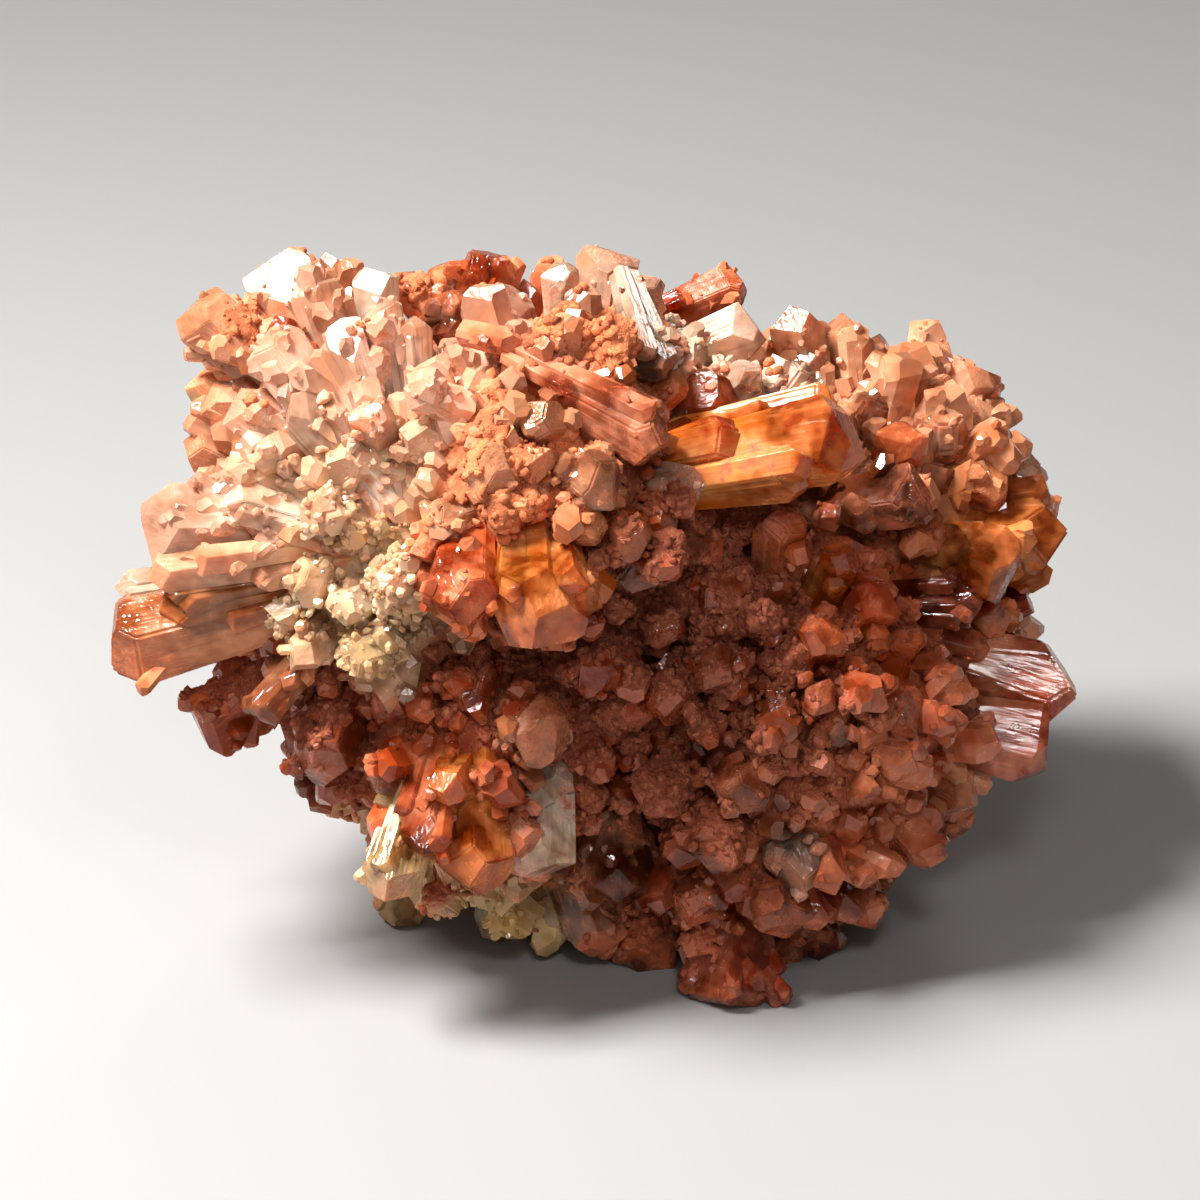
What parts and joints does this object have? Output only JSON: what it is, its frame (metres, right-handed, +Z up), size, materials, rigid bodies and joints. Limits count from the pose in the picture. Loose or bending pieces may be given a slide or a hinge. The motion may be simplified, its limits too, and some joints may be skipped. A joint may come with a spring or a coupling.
{
  "type": "creedite cluster",
  "caption": "Natural cluster of stubby prismatic crystals grown together in radiating sprays, partly coated with earthy iron oxide; it stands on its lowest crystal tips.",
  "frame": {"origin": "middle of the bounding box in plan, on the surface that the cluster stands on", "axes": "+X to the right across the display side, the longest extent; +Y away from the viewer, to the back; +Z up"},
  "size_m": [0.0398, 0.029, 0.029],
  "materials": {
    "creedite": "vitreous, translucent orange to salmon pink, with paler roots and redder tips",
    "iron_oxide": "earthy and dull, the coating on and between the crystals"
  },
  "bodies": {
    "root": {"crystal_cluster": "creedite"}
  },
  "joints": []
}
